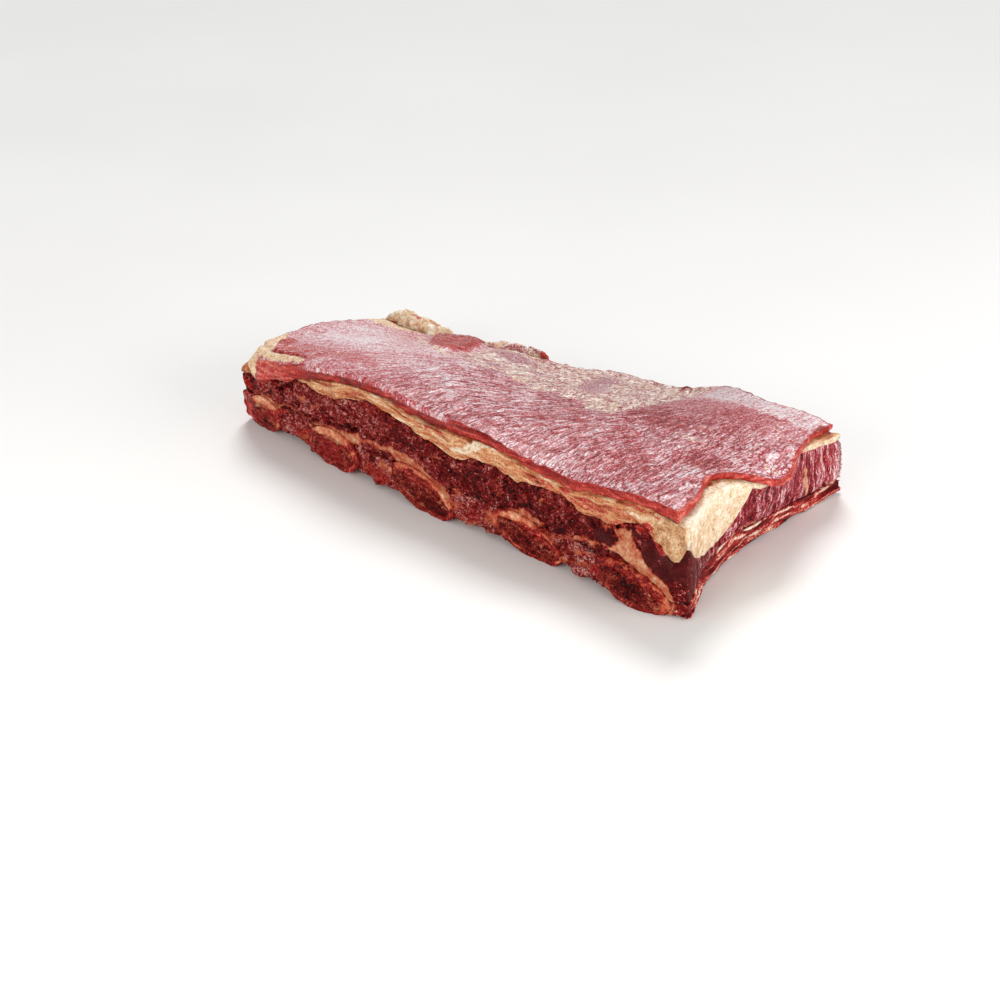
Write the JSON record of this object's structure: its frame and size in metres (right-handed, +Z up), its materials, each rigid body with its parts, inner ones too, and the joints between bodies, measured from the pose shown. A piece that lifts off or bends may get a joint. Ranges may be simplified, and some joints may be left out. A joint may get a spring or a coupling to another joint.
{
  "type": "raw beef ribs",
  "caption": "Raw slab of beef ribs, bone side down: sawn oval bones under dark meat, a cream fat seam and a thin top flap.",
  "frame": {"origin": "middle of the bounding box's underside, on the plane that the ribs' undersides rest on", "axes": "+X along the sawn face towards the end with the fat patch, +Y from the sawn face to the back, +Z up out of the flap"},
  "size_m": [0.4021, 0.1905, 0.068],
  "materials": {
    "flap_muscle": "moist raw muscle under thin pale silverskin, with fine fibre lines",
    "fat": "cream fat, softly waxy",
    "dark_meat": "sawn dark red meat, coarse grain, marbled, moist",
    "bone": "sawn bone and gristle, cream to pink",
    "marrow": "spongy red marrow, moist",
    "between_meat": "moist red meat between the ribs",
    "membrane": "pink and white membranes in thin layers"
  },
  "bodies": {
    "root": {"top_flap": "flap_muscle", "fat_seam": "fat", "rib_meat": "dark_meat", "rib_bone_1": "bone", "rib_bone_2": "bone", "rib_bone_3": "bone", "rib_bone_4": "bone", "rib_bone_5": "bone", "rib_marrow_1": "marrow", "rib_marrow_2": "marrow", "rib_marrow_3": "marrow", "rib_marrow_4": "marrow", "rib_marrow_5": "marrow", "between_meat_1": "between_meat", "between_meat_2": "between_meat", "between_meat_3": "between_meat", "between_meat_4": "between_meat", "between_meat_5": "between_meat", "end_skirt": "membrane", "fat_lump": "fat", "meat_lump": "dark_meat", "silver_lump": "flap_muscle"}
  },
  "joints": []
}
